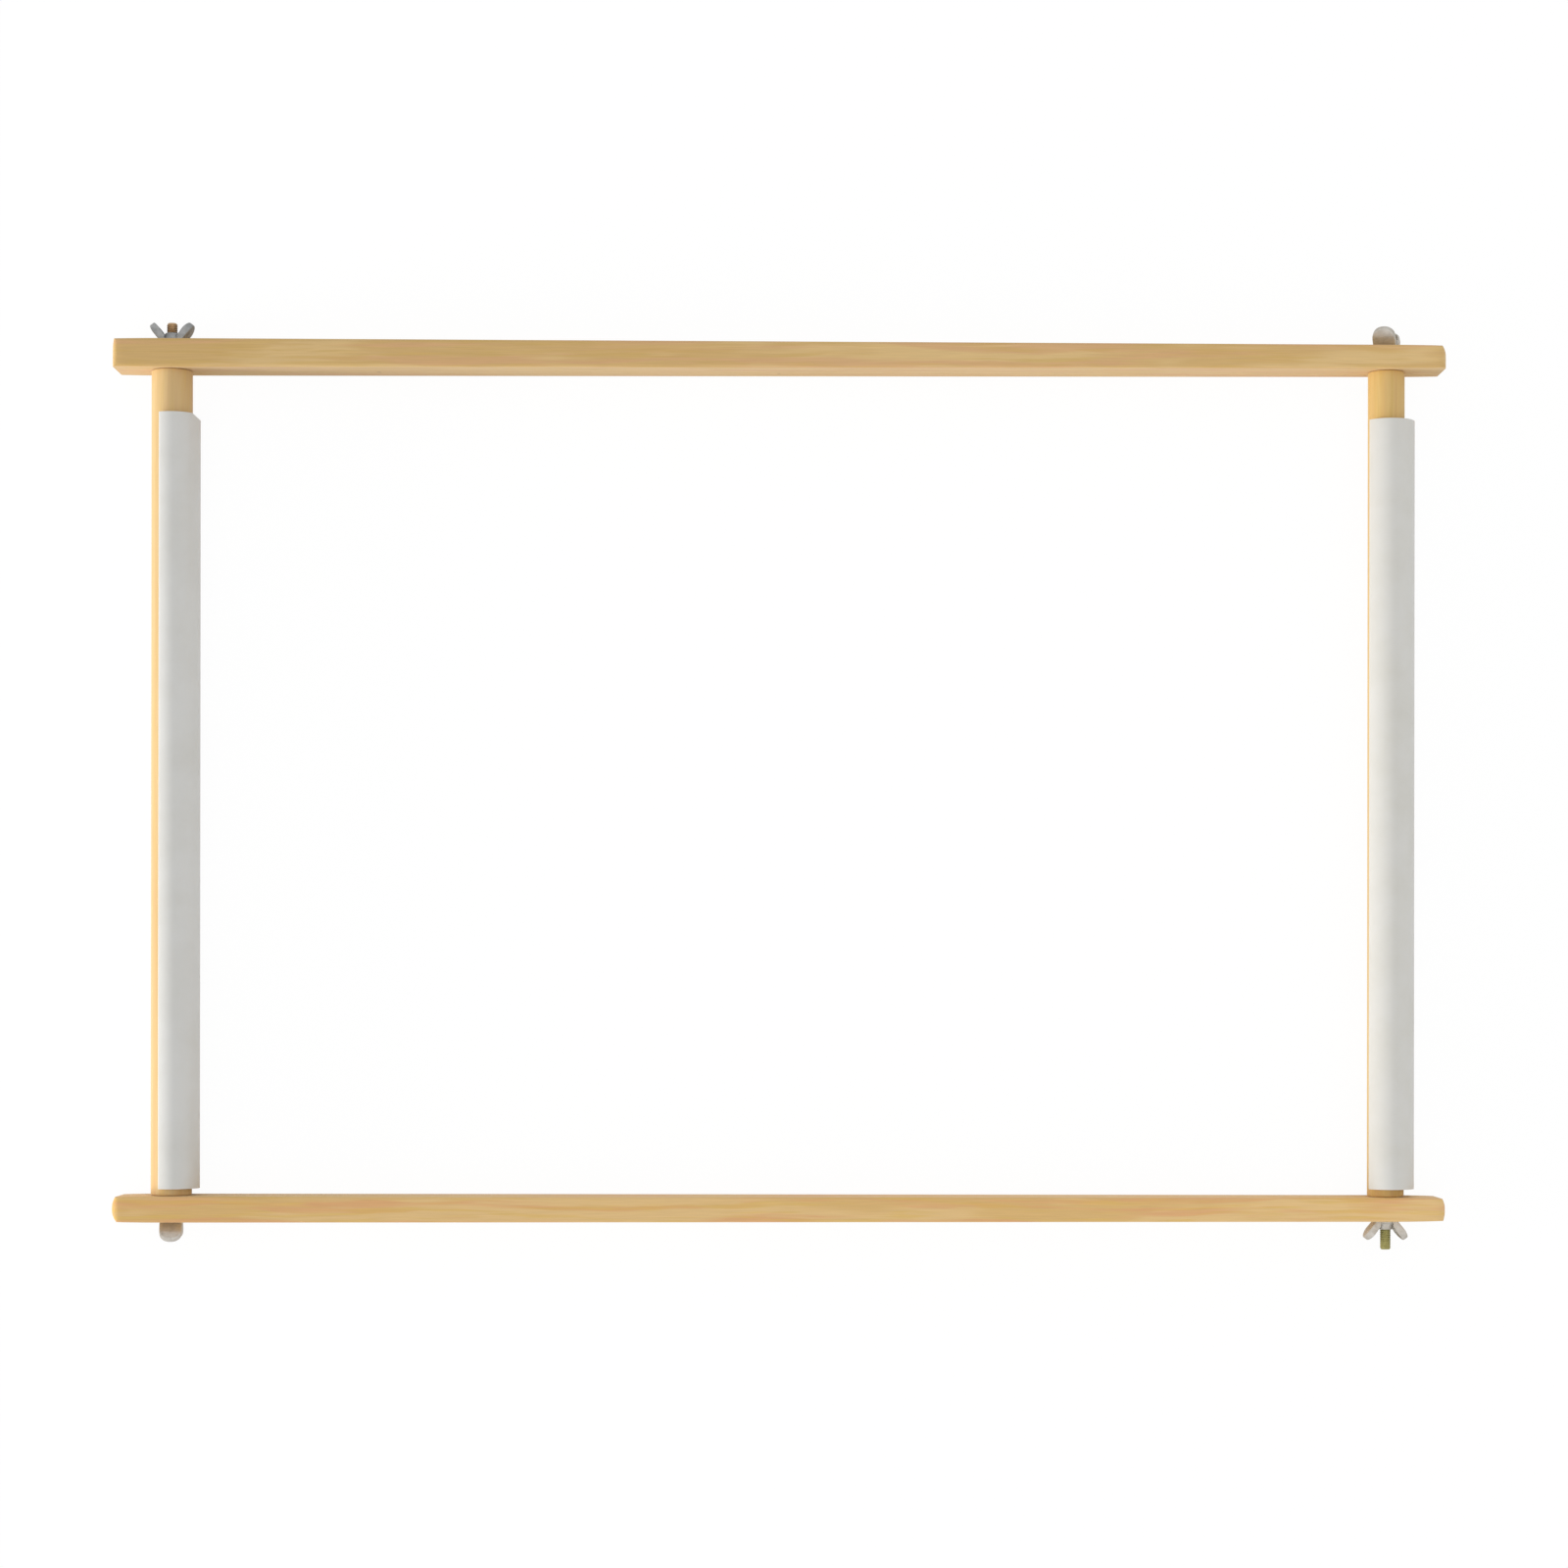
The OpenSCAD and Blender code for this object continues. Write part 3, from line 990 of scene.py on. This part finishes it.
@dataclass
class WingNutDie:
    """The die that presses a wing nut: two dished wings and a drawn collar from one sheet."""

    height: float = 10.7
    span: float = 24.5
    wing_width: float = 12.6
    wing_thickness: float = 4.5
    sheet: float = 1.3
    lean: float = 37
    corner_radius: float = 5.9
    back_radius: float = 1.9
    rim_radius: float = 1.3
    dish_edge: float = 0.3
    dish_slope: float = 0.4
    leaf_taper: float = 0.3
    leaf_middle: float = 0.525
    collar_height: float = 5
    collar_foot: float = 5.2
    collar_top: float = 4.1
    foot_radius: float = 6.4
    bore: float = 3.15
    root_cut: float = 3.5
    foot_cut: float = 0.05
    tongue_foot: float = 6
    voxel: float = 0.17
    smoothing: int = 5
    mesh: Mesh | None = field(default=None, repr=False)

    def wing(self, bm: BMesh, turn: float) -> None:
        """Adds one wing: a tongue whose rim is turned in towards the bolt.

        Args:
            bm: The mesh that takes the wing.
            turn: Direction that the wing leans in.
        """
        half, back, foot = self.wing_width / 2, self.wing_thickness / 2, -self.tongue_foot
        lean = math.radians(self.lean)
        tip_z = self.height - back
        root_x = self.span / 2 - back - tip_z * math.tan(lean)
        tall = tip_z / math.cos(lean) + back
        known = set(bm.verts)
        corners = [bm.verts.new((back, y, z)) for y, z in
                   ((-half, foot), (half, foot), (half, tall), (-half, tall))]
        bm.faces.new(corners)
        round_off(bm, corners[2:], self.corner_radius, steps=14, affect="VERTICES")
        outline = next(f for f in bm.faces if not known & set(f.verts))
        grown = bmesh.ops.extrude_face_region(bm, geom=[outline])["geom"]
        front = [v for v in grown if isinstance(v, BMVert)]
        bmesh.ops.translate(bm, vec=(-self.wing_thickness, 0, 0), verts=front)
        faces = {f for v in bm.verts if v not in known for f in v.link_faces}
        bmesh.ops.recalc_face_normals(bm, faces=list(faces))
        for x, radius in ((back, self.back_radius), (-back, self.rim_radius)):
            rim = [e for e in {e for v in bm.verts if v not in known for e in v.link_edges}
                   if all(abs(w.co.x - x) < TOUCH and w.co.z > foot + TOUCH for w in e.verts)]
            round_off(bm, rim, radius, steps=5, clamp=True)
        # A dish is pressed into the side towards the bolt, and leaves a sheet and a half.
        faces = {f for v in bm.verts if v not in known for f in v.link_faces}
        dish = min(faces, key=lambda f: f.calc_center_median().x)
        bmesh.ops.inset_region(bm, faces=[dish], thickness=self.dish_edge, depth=0)
        bmesh.ops.inset_region(bm, faces=[dish], thickness=self.dish_slope,
                               depth=-(self.wing_thickness - 1.5 * self.sheet))
        # The wing is thickest at its middle and thins towards its root and its tip.
        fresh = [v for v in bm.verts if v not in known]
        for vert in fresh:
            way = min(1.0, abs(2 * vert.co.z / tall - 2 * self.leaf_middle))
            vert.co.x *= 1 - self.leaf_taper * way**2
        swing = Matrix.Rotation(math.radians(turn), 4, "Z")
        place = swing @ Matrix.Translation((root_x, 0, 0)) @ Matrix.Rotation(lean, 4, "Y")
        bmesh.ops.transform(bm, matrix=place, verts=fresh)
        away = swing.to_3x3() @ Vector((1, 0, 0))
        cut_flat(bm, known, (0, 0, self.foot_cut), (0, 0, -1))
        cut_flat(bm, known, away * self.root_cut, -away)

    def press(self) -> Mesh:
        """Presses the nut, which is done once for all four.

        Returns:
            Its mesh in millimetres, standing on its foot and pointing up.
        """
        if self.mesh:
            return self.mesh
        bm = bmesh.new()
        for turn in (0, 180):
            self.wing(bm, turn)
        # Along the sheet's punched foot, up the drawn cone and back down the bore.
        bore, foot, sheet, top = self.bore, self.foot_radius, self.sheet, self.collar_height
        collar = [
            (bore, 0), (foot - 0.3, 0), (foot, 0.3), (foot, sheet - 0.4), (foot - 0.4, sheet),
            (self.collar_foot + 0.5, sheet + 0.1), (self.collar_foot, sheet + 0.6),
            (self.collar_top + 0.1, top - 0.5), (self.collar_top - 0.3, top),
            (bore + 0.3, top), (bore, top - 0.3), (bore, 0),
        ]
        lathe(bm, collar, 64)
        bmesh.ops.recalc_face_normals(bm, faces=bm.faces)
        blank = add_object(bm, "nut_blank")
        fuse = blank.modifiers.new("fuse", "REMESH")
        fuse.mode = "VOXEL"
        fuse.voxel_size = self.voxel
        ease = blank.modifiers.new("ease", "SMOOTH")
        ease.factor = 0.5
        ease.iterations = self.smoothing
        graph = bpy.context.evaluated_depsgraph_get()
        self.mesh = bpy.data.meshes.new_from_object(blank.evaluated_get(graph))
        bpy.data.meshes.remove(blank.data)
        # The remesh leaves the bore uneven, so it is trued up, and nothing lies below the foot.
        for vert in self.mesh.vertices:
            radius = vert.co.xy.length
            if radius < bore + 0.25 and 0.3 < vert.co.z < top - 0.3:
                vert.co.xy *= bore / radius
            vert.co.z = max(vert.co.z, 0.0)
        return self.mesh

    def build(self, side: Side, end: End, turn: float, material: Material) -> Object:
        """Builds one nut.

        Args:
            side: The roller whose bolt it sits on.
            end: The bar that it bears on.
            turn: Turn of its wings out of the frame's plane.
            material: Its finish.

        Returns:
            The nut in its place.
        """
        bm = bmesh.new()
        bm.from_mesh(self.press())
        name = f"steel_{end}_{side}_nut"
        place = LAYOUT.on_axis(side, end, LAYOUT.outer_y(side, end) + LAYOUT.play, turn)
        return finish_piece(bm, name, place, material, sharp_angle=60)


@dataclass
class Studio:
    """A pale floor, plain soft light and the camera over the frame, in metres and watts."""

    ambient: float = 0.72
    key_power: float = 66
    key_colour: str = "FFFBF6"
    key_size: float = 0.9
    key_distance: float = 2.7
    key_from: tuple[float, float, float] = (-0.97, -0.18, 0.07)
    camera_place: tuple[float, float, float] = (0.0014, -0.1184, 1.932)
    lens: float = 77.77
    shift: Point = (0.0019, 0.1348)
    roll: float = 0.07
    floor_size: float = 30
    floor_drop: float = 0.0005
    glow: float = 1.02
    glow_share: float = 0.93

    def floor(self) -> None:
        """Adds the floor, whose colour hides all but a trace of the frame's shadow."""
        bm = bmesh.new()
        bmesh.ops.create_grid(bm, x_segments=1, y_segments=1, size=self.floor_size)
        floor = add_object(bm, "floor")
        floor.location.z = -self.floor_drop
        material = bpy.data.materials.new("white_paper")
        nodes = Nodes(material)
        # Matt paper: it catches the frame's shadow faintly, and is white to the eye.
        paper = nodes.add("BsdfDiffuse", {"Color": WHITE})
        glow = nodes.add("Emission", {"Color": WHITE, "Strength": self.glow})
        seen = nodes.add("LightPath")
        share = nodes.add("Math", {
            0: seen["Is Camera Ray"], 1: self.glow_share}, operation="MULTIPLY")
        surface = nodes.add("MixShader", {
            0: share["Value"], 1: paper["BSDF"], 2: glow["Emission"]})
        nodes.add("OutputMaterial", {"Surface": surface["Shader"]})
        floor.data.materials.append(material)

    def world(self) -> None:
        """Lights everything evenly, and shows white to the camera and to gloss."""
        world = bpy.data.worlds.new("studio")
        nodes = Nodes(world)
        seen = nodes.add("LightPath")
        shown = nodes.add("Math", {
            0: seen["Is Camera Ray"], 1: seen["Is Glossy Ray"]},
            operation="MAXIMUM")
        soft = nodes.add("Background", {"Color": WHITE, "Strength": self.ambient})
        white = nodes.add("Background", {"Color": WHITE, "Strength": 1.0})
        surface = nodes.add("MixShader", {
            0: shown["Value"], 1: soft["Background"],
            2: white["Background"]})
        nodes.add("OutputWorld", {"Surface": surface["Shader"]})
        bpy.context.scene.world = world

    def key(self) -> None:
        """Hangs one soft lamp low on the left, which lights but shows in no gloss."""
        lamp = bpy.data.lights.new("key", "AREA")
        lamp.shape = "DISK"
        lamp.size = self.key_size
        lamp.energy = self.key_power
        lamp.color = linear(self.key_colour)[:3]
        key = bpy.data.objects.new("key", lamp)
        towards = Vector(self.key_from).normalized()
        key.location = towards * self.key_distance
        key.rotation_euler = towards.to_track_quat("Z", "Y").to_euler()
        key.visible_camera = False
        key.visible_glossy = False
        bpy.context.scene.collection.objects.link(key)

    def camera(self) -> None:
        """Sets the camera square over the frame, shifted up to it."""
        lens = bpy.data.cameras.new("camera")
        lens.sensor_width = 36
        lens.lens = self.lens
        lens.shift_x, lens.shift_y = self.shift
        camera = bpy.data.objects.new("camera", lens)
        camera.location = self.camera_place
        camera.rotation_euler.z = math.radians(self.roll)
        bpy.context.scene.collection.objects.link(camera)
        bpy.context.scene.camera = camera

    def build(self) -> None:
        """Sets up the whole studio."""
        self.floor()
        self.world()
        self.key()
        self.camera()
        bpy.context.scene.view_settings.view_transform = "Standard"


@dataclass
class ScrollFrame:
    """The whole frame: its sub-assemblies, their finishes and the bodies they ride on."""

    nut_turns: dict[Corner, float] = field(default_factory=lambda: {
        (Side.LEFT, End.TOP): 0, (Side.RIGHT, End.TOP): 70,
        (Side.LEFT, End.BOTTOM): 83, (Side.RIGHT, End.BOTTOM): 0})

    def side_bars(self) -> None:
        """Builds and dresses both side bars."""
        top = Pine(
            "sanded_pine_top_bar", early="E3C186", late="CEA562", rosy="DDAF7E",
            olive="D4B066", grain_axis="X", pith=(0, 247, -34), lean=(0, 0.9, 0.5), fade=0.07,
            knots=((-227, 234.9, 13), (0.3, 234.9, 9)),
        )
        bottom = Pine(
            "sanded_pine_bottom_bar", early="EDC88B", late="DCB168", rosy="E7AE78",
            olive="E5BE65", grain_axis="X", pith=(0, -243, -46), lean=(0, -0.7, -0.4),
            ring_spacing=6, fade=0.08,
        )
        bars = (
            (SideBar(End.TOP, BarEnd(1.0, 0.1, 3.1), BarEnd(2.4, 0.1, 3.2)), top),
            (SideBar(End.BOTTOM, BarEnd(3.0, 2.2, 4.4), BarEnd(1.3, 1.8, 3.2, pinch=0.5)), bottom),
        )
        for bar, pine in bars:
            piece = bar.build(pine.material())
            mount(piece, f"{bar.end}_side_bar", "side_bars")

    def rollers(self) -> None:
        """Builds and dresses both rollers."""
        left = Pine(
            "sanded_pine_left_roller", early="DDBD87", late="D3AF74", rosy="D8B27F",
            olive="DAB877", grain_axis="Y", pith=(-372, 0, -24), lean=(0.5, 0, 0.3),
            ring_contrast=0.35, fibre_contrast=0.05,
        )
        right = Pine(
            "sanded_pine_right_roller", early="E4C07B", late="D9B068", rosy="DEB677",
            olive="DEB96C", grain_axis="Y", pith=(318, 0, -20), lean=(-0.4, 0, 0.3),
            ring_contrast=0.35, fibre_contrast=0.05,
        )
        for side, pine in ((Side.LEFT, left), (Side.RIGHT, right)):
            name = f"{side}_roller"
            mount(Roller(side).build(pine.material()), name, name)

    def clips(self) -> None:
        """Builds and dresses both fabric clips."""
        left = FabricClip(Side.LEFT, bare=29, gap=4, mouth=-78, trimmed=2.8)
        right = FabricClip(Side.RIGHT, bare=32.5, gap=4.5, mouth=-108)
        finishes = (
            (left, Vinyl("white_pvc_left_clip")),
            (right, Vinyl("white_pvc_right_clip", body="E6E5E0", shade="DCDAD0")),
        )
        for clip, vinyl in finishes:
            name = f"{clip.side}_fabric_clip"
            mount(clip.build(vinyl.material()), name, name)

    def fittings(self) -> None:
        """Builds and dresses the bolts and the wing nuts."""
        die = WingNutDie()
        bright = PlatedSteel("zinc_plated_pressed_steel", "D3CEC6", "C0BAB0").material()
        # The top left nut gets a darker grey copy of the same zinc: painted shade, which keeps the
        # low lamp on the left from whitening it.
        grey = PlatedSteel("weathered_zinc_plated_pressed_steel", "A9AAAA", "949696").material()
        yellow = PlatedSteel("yellow_zinc_plated_steel", "B9B478", "A49E66").material()
        # The top left bolt gets a browner copy of the yellow zinc.
        brown = PlatedSteel("worn_yellow_zinc_plated_steel", "C4A47E", "9C7C58").material()
        for side, end in LAYOUT.studs:
            corner = f"{end}_{side}"
            # The top left corner takes the darker nut, whose grey is painted shade, and the browner
            # bolt.
            top_left = (side, end) == (Side.LEFT, End.TOP)
            bolt = HangerBolt(side, end).build(brown if top_left else yellow)
            mount(bolt, f"{corner}_hanger_bolt", f"{side}_roller")
            nut = die.build(side, end, self.nut_turns[side, end], grey if top_left else bright)
            mount(nut, f"{corner}_wing_nut", f"{corner}_wing_nut")

    def build(self) -> None:
        """Builds the whole frame."""
        self.side_bars()
        self.rollers()
        self.clips()
        self.fittings()


def main() -> None:
    """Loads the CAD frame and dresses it."""
    logging.basicConfig(level=logging.INFO, format="%(name)s: %(message)s")
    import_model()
    Studio().build()
    ScrollFrame().build()


if __name__ == "__main__":
    main()
